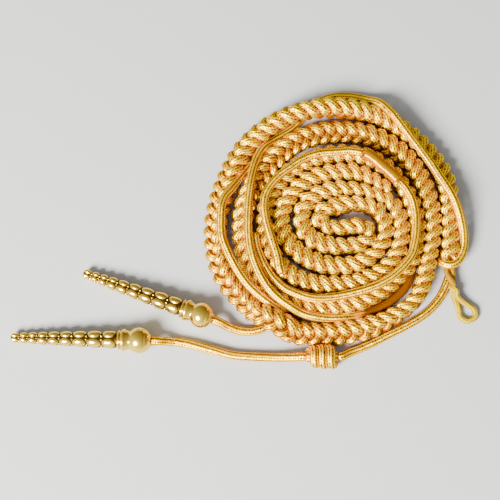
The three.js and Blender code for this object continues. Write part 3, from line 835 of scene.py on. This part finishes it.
class AIGUILLETTE_OT_stage(Operator):
    """Sets up the floor, the soft light and the camera"""
    bl_idname = "aiguillette.stage"
    bl_label = "Stage"

    def execute(self, context):
        stage = settings("stage")
        camera = add_object("camera", bpy.data.cameras.new("camera"))
        camera.location = CAMERA_PLACE
        camera.data.lens = CAMERA_LENS
        camera.data.clip_start, camera.data.clip_end = 0.01, 20.0
        aim(camera, CAMERA_TARGET)
        context.scene.camera = camera
        shape = bmesh.new()
        bmesh.ops.create_grid(shape, x_segments=1, y_segments=1, size=FLOOR_REACH)
        floor = add_object("floor", finished_mesh("floor", shape))
        floor.data.materials.append(floor_finish(stage.floor))
        add_window(stage.key)
        light_sky(stage.sky)
        return {"FINISHED"}


# Thin cords, with what is on them

def thin_cord(name, route, node):
    """A knitted cord along its route, in place of its plain tube."""
    cord = settings("cord")
    line = cord_line(route, CORD_STEP)
    tube = ribbed_tube(line, cord.diameter * CREST_SHARE, cord.diameter * cord.flatness, cord.ribs,
                       cord.groove, cord.twist,
                       swell=rounded_ends(line.along, cord.diameter / 2, least=0.35))
    # painted shade where the cord lies low in a gap of the coil
    tube = tube._replace(depth=np.maximum(tube.depth, sunk_between_turns(line)[:, None]))
    return tube_piece(name, [tube], cord_finish(), node), line


def sunk_between_turns(line):
    """How much painted shade a cord takes at each step for lying low in a gap of the coil: 0 on top
    of it or outside it.
    """
    from_centre = line.middle[:, :2] - to_part((*COIL_CENTRE, 0))[:2]
    inside = norm(from_centre, axis=1) < GAP_REACH
    return np.where(inside, np.clip((SUNK_BELOW - line.middle[:, 2]) / SUNK_REACH, 0, 1), 0)


def declare(diameter=None):
    """Reads the cord's diameter when none is given, and does nothing with it."""
    diameter or settings("cord").diameter


class AIGUILLETTE_OT_cords(Operator):
    """Lays the thin knitted cords over the coil"""
    bl_idname = "aiguillette.cords"
    bl_label = "Thin cords"

    def execute(self, context):
        for name, route, node in (
                ("outer_knitted_cord", OUTER_CORD, "outer_cord"),
                ("inner_knitted_cord", INNER_CORD, "inner_cord"),
                ("returning_knitted_cord", INNER_CORD_RETURN, "inner_cord_return"),
                ("bridging_knitted_cord", BRIDGING_CORD, "bridging_cord")):
            piece, line = thin_cord(name, route, node)
            declare()
        return {"FINISHED"}


class AIGUILLETTE_OT_tails(Operator):
    """Makes the two tails with their metal points, and the knot on the lower one"""
    bl_idname = "aiguillette.tails"
    bl_label = "Tails, points and knot"

    def execute(self, context):
        knot = barrel_knot()
        upper_point = metal_point("upper_metal_point", UPPER_POINT, "upper_ferrule")
        lower_point = metal_point("lower_metal_point", LOWER_POINT, "lower_ferrule")
        for name, route, node, far_end, fitted in (
                ("upper_tail", UPPER_TAIL, "upper_tail_cord", "fitting", upper_point),
                ("lower_tail", LOWER_TAIL, "lower_tail_cord", "fitting", lower_point),
                ("lower_tail_end_knitted", LOWER_TAIL_END, "lower_tail_end", "knot", knot)):
            piece, line = thin_cord(name, route, node)
            declare()
        return {"FINISHED"}


# The knot

KNOT_TURNS = 3
KNOT_STEPS = 180
KNOT_PITCH = 0.0047  # from one turn to the next
KNOT_SWAY = 0.0005  # how far a turn strays along the knot
KNOT_REACH = ((0, 0.0042), (0.9, 0.0045), (1.2, 0.0049), (KNOT_TURNS, 0.0049))
KNOT_HEIGHT_SHARE = 0.84
KNOT_CORE = (-0.0088, -0.004, 0.004, 0.0088)  # places along the cord inside the wraps
KNOT_CORE_WIDTH, KNOT_CORE_HEIGHT = 0.0064, 0.0054


def barrel_knot():
    """Three wraps of the cord round itself, with their two ends tucked underneath."""
    cord = settings("cord")
    x, y, z = KNOT_MIDDLE
    turns = np.linspace(0, KNOT_TURNS, KNOT_STEPS)
    angle = 2 * math.pi * turns - math.pi / 2
    reach = np.interp(turns, *zip(*KNOT_REACH))
    middle = to_part(np.column_stack([
        x + (turns - KNOT_TURNS / 2) * KNOT_PITCH + KNOT_SWAY * np.sin(2 * angle),
        y + reach * np.cos(angle),
        z + reach * KNOT_HEIGHT_SHARE * np.sin(angle)]))
    tangent = unit(np.gradient(middle, axis=0))
    side = square_to(tangent, np.tile((1.0, 0.0, 0.0), (len(middle), 1)))
    line = Line(lengths(middle), middle, side, np.cross(tangent, side))
    wraps = ribbed_tube(line, cord.diameter * CREST_SHARE, cord.diameter, cord.ribs, cord.groove,
                        swell=rounded_ends(line.along, cord.diameter / 2, least=0.3))
    core_line = cord_line([(x + along, y, z) for along in KNOT_CORE], CORD_STEP)
    core = ribbed_tube(core_line, KNOT_CORE_WIDTH, KNOT_CORE_HEIGHT, cord.ribs, cord.groove)
    return tube_piece("wound_knot", [wraps, core], cord_finish(), "barrel_knot")


# The metal points

Row = namedtuple("Row", "middle radius")  # a ring of ovals: its place, and its reach
ROWS = [Row(0.0026, 0.0029), Row(0.0076, 0.0033), Row(0.013, 0.0036), Row(0.0186, 0.0039),
        Row(0.0254, 0.0042), Row(0.0326, 0.0045), Row(0.0406, 0.0048), Row(0.0494, 0.0051),
        Row(0.0584, 0.0052)]
CHASED_END = 0.0628  # where the length with ovals ends
CHASED_END_RADIUS = 0.0043
TIP = [(0.0, 0.0), (0.0, 0.0012), (0.0001, 0.0016)]
TIP_RADIUS = 0.0019
UNDER_OVALS = 0.0013  # from a row's widest reach in to the plain body
PLAIN_RIM = 0.0006  # bare length past the last row
COLLAR = [(0.063, 0.0047), (0.0632, 0.0054), (0.0636, 0.0057), (0.064, 0.0057), (0.0643, 0.0053),
          (0.0645, 0.0048), (0.0649, 0.0048), (0.0651, 0.0057), (0.0655, 0.0062), (0.0662, 0.0064),
          (0.0669, 0.0063), (0.0675, 0.0059), (0.0681, 0.0056), (0.0688, 0.0054), (0.0695, 0.0053)]
BALL_MIDDLE = 0.0752
BALL_LATITUDES = range(-46, 67, 3)
BALL_SEAM = 0.0788
BALL_SEAM_DEPTH, BALL_SEAM_REACH = 0.00035, 0.00025
MOUTH_RADIUS, MOUTH_DEPTH = 0.0029, 0.0008
MOUTH_LIP, MOUTH_TAPER = 0.0001, 0.0003
OVALS_TURNED = math.radians(41)  # so that a groove between two columns of ovals faces up
OVAL_LENGTH, OVAL_WIDTH = 0.92, 0.93  # as shares of the room that an oval has
OVAL_RISE = 1.9  # its height, in heights of a small bead
OVAL_FULLNESS = 2.15  # 2 is a true ellipse, and more fills its corners
BEAD_REACH = 0.0007  # half the length of a small bead
BEAD_ASIDE = 0.7  # from an oval's middle to a bead's, as a share of half an oval's room
BEAD_WIDTH = 0.16  # half a bead's width, as such a share
BARE_REACH = 0.001  # nothing is raised nearer the axis than this
ROUND_STEPS = 108
ALONG_STEP = 0.0004


def chased_radius(at):
    """Radius of the plain body under the raised work."""
    places = [0.0, *(row.middle for row in ROWS), CHASED_END]
    radii = [TIP_RADIUS, *(row.radius - UNDER_OVALS for row in ROWS), CHASED_END_RADIUS]
    return float(np.interp(at, places, radii))


def raised_work(at, angle, point):
    """How far the ovals and the small beads between them stand up at a spot."""
    pitch = 2 * math.pi / point.ovals
    aside = (((angle - OVALS_TURNED) / pitch + 0.5) % 1.0 - 0.5) * 2
    height = 0.0
    borders = [(a.middle + b.middle) / 2 for a, b in zip(ROWS, ROWS[1:])]
    edges = [0.0, *borders, CHASED_END - PLAIN_RIM]
    for start, end in zip(edges, edges[1:]):
        if start <= at <= end:
            length = ((at - start) / (end - start) - 0.5) * 2
            inside = (1 - abs(length / OVAL_LENGTH) ** OVAL_FULLNESS
                      - abs(aside / OVAL_WIDTH) ** OVAL_FULLNESS)
            height = point.relief * OVAL_RISE * math.sqrt(max(0.0, inside))
    for border in borders:
        bead = 1 - ((at - border) / BEAD_REACH) ** 2 - ((abs(aside) - BEAD_ASIDE) / BEAD_WIDTH) ** 2
        height = max(height, point.relief * math.sqrt(max(0.0, bead)))
    return height


def point_profile(point):
    """The turned outline from the tip to the cord's end, as places along the axis and radii."""
    chased = [(at, chased_radius(at)) for at in np.arange(ALONG_STEP, CHASED_END, ALONG_STEP)]
    ball = []
    for latitude in BALL_LATITUDES:
        turn = math.radians(latitude)
        at = BALL_MIDDLE + point.ball_radius * math.sin(turn)
        groove = BALL_SEAM_DEPTH * math.exp(-((at - BALL_SEAM) / BALL_SEAM_REACH) ** 2)
        ball.append((at, point.ball_radius * math.cos(turn) - groove))
    bottom = point.length - MOUTH_DEPTH
    mouth = [(point.length + MOUTH_LIP, MOUTH_RADIUS), (bottom, MOUTH_RADIUS - MOUTH_TAPER)]
    return TIP + chased + COLLAR + ball + mouth + [(bottom, 0.0)]


def metal_point(name, ends, node):
    """A turned gold point whose rows of ovals are raised on it, in its place on the floor."""
    point = settings("point")
    tip, cord_end = (Vector(to_part(end)) for end in ends)
    shape = bmesh.new()
    depth = shape.verts.layers.float.new(DEPTH)
    corners = [shape.verts.new((radius, 0.0, at)) for at, radius in point_profile(point)]
    edges = [shape.edges.new(pair) for pair in zip(corners, corners[1:])]
    bmesh.ops.spin(shape, geom=corners + edges, cent=(0, 0, 0), axis=(0, 0, 1), angle=2 * math.pi,
                   steps=ROUND_STEPS, use_merge=True)
    bmesh.ops.remove_doubles(shape, verts=shape.verts, dist=0.000002)
    bmesh.ops.recalc_face_normals(shape, faces=shape.faces)
    for corner in shape.verts:
        radius = math.hypot(corner.co.x, corner.co.y)
        if ALONG_STEP < corner.co.z < CHASED_END and radius > BARE_REACH:
            height = raised_work(corner.co.z, math.atan2(corner.co.y, corner.co.x), point)
            share = (radius + height) / radius
            corner.co.x, corner.co.y = corner.co.x * share, corner.co.y * share
            # the lower a spot in the raised work, the more tarnishing and painted shade its finish
            # takes
            corner[depth] = 1 - min(1.0, height / point.relief)
    axis = (cord_end - tip).normalized()
    turn = axis.to_track_quat("Z", "Y").to_matrix().to_4x4()
    shape.transform(Matrix.Translation(tip) @ turn)
    mesh = finished_mesh(name, shape)
    mesh.shade_smooth()
    gold = bpy.data.materials.get("Polished gold") or metal_finish()
    return dress(add_object(name, mesh), gold, node)


class AIGUILLETTE_OT_plait(Operator):
    """Plaits the three strands of fine cords through the whole coil"""
    bl_idname = "aiguillette.plait"
    bl_label = "Plait"

    def execute(self, context):
        plait = settings("plait")
        line, place, level = plait_line(plait.step)
        middles = strand_middles(line, plait)
        spread = spread_of(line, plait)
        strands = [spread_out(strand_tube(middles, which, plait, line), line, level, spread)
                   for which in range(3)]
        third_turn = len(HEAD) + len(turn_stations("first")) + len(turn_stations("second"))
        cut = int(np.searchsorted(place, third_turn))
        finish = plait_finish()
        for name, node, part in (("outer_plait", "plait_outer_turns", slice(0, cut + 1)),
                                 ("inner_plait", "plait_inner_coil", slice(cut, None))):
            tubes = [Tube(strand.rings[part], strand.along[part], strand.ribs, strand.depth[part])
                     for strand in strands]
            piece = tube_piece(name, tubes, finish, node)
            declare(diameter=PLAIT_WIDTH)
        return {"FINISHED"}


class AIGUILLETTE_OT_loop(Operator):
    """Makes the small loop of yellow cord that buttons the head on"""
    bl_idname = "aiguillette.loop"
    bl_label = "Button loop"

    def execute(self, context):
        width = settings("cord").loop_diameter
        line = cord_line(LOOP, LOOP_STEP)
        tube = ribbed_tube(line, width, width, ribs=6, groove=0.00016, twist=14.0,
                           swell=rounded_ends(line.along, width / 2, least=0.3))
        finish = loop_finish(float(line.along[-1]) * TO_MILLIMETRES)
        piece = tube_piece("yellow_button_loop", [tube], finish, "button_loop")
        declare(diameter=width)
        return {"FINISHED"}


class AIGUILLETTE_OT_sleeve(Operator):
    """Winds the glossy silk sleeve on the inner cord"""
    bl_idname = "aiguillette.sleeve"
    bl_label = "Silk sleeve"

    def execute(self, context):
        width = settings("cord").sleeve_diameter
        line = cord_line(SLEEVE, SLEEVE_STEP)
        bulge = 1 + SLEEVE_BULGE * np.sin(line.along / line.along[-1] * SLEEVE_BULGES * math.pi)
        tube = ribbed_tube(line, width, width * SLEEVE_FLATNESS, ribs=8, groove=0.00004,
                           swell=rounded_ends(line.along, reach=0.0012, least=0.72) * bulge)
        finish = silk_finish(settings("colours").silk)
        tube_piece("wound_silk_sleeve", [tube], finish, "silk_sleeve")
        return {"FINISHED"}


OPERATORS = (AIGUILLETTE_OT_stage, AIGUILLETTE_OT_cords, AIGUILLETTE_OT_tails, AIGUILLETTE_OT_plait,
             AIGUILLETTE_OT_loop, AIGUILLETTE_OT_sleeve)
SETTINGS = {"plait": PlaitSettings, "cord": CordSettings, "point": PointSettings,
            "colours": ColourSettings, "stage": StageSettings}


class AIGUILLETTE_PT_sidebar(Panel):
    bl_idname = "AIGUILLETTE_PT_sidebar"
    bl_label = "Aiguillette"
    bl_space_type = "VIEW_3D"
    bl_region_type = "UI"
    bl_category = "Aiguillette"

    def draw(self, context):
        for name in SETTINGS:
            group = settings(name)
            box = self.layout.box()
            box.label(text=name.capitalize())
            for prop in group.bl_rna.properties:
                if not prop.is_readonly and prop.identifier != "name":
                    box.prop(group, prop.identifier)
        for operator in OPERATORS:
            self.layout.operator(operator.bl_idname)


def register():
    for each in (*SETTINGS.values(), *OPERATORS, AIGUILLETTE_PT_sidebar):
        bpy.utils.register_class(each)
    for name, group in SETTINGS.items():
        setattr(Scene, "aiguillette_" + name, PointerProperty(type=group))


def unregister():
    for name in SETTINGS:
        delattr(Scene, "aiguillette_" + name)
    for each in (AIGUILLETTE_PT_sidebar, *OPERATORS[::-1], *SETTINGS.values()):
        bpy.utils.unregister_class(each)


def main():
    register()
    for operator in OPERATORS:
        category, name = operator.bl_idname.split(".")
        getattr(getattr(bpy.ops, category), name)()


if __name__ == "__main__":
    main()
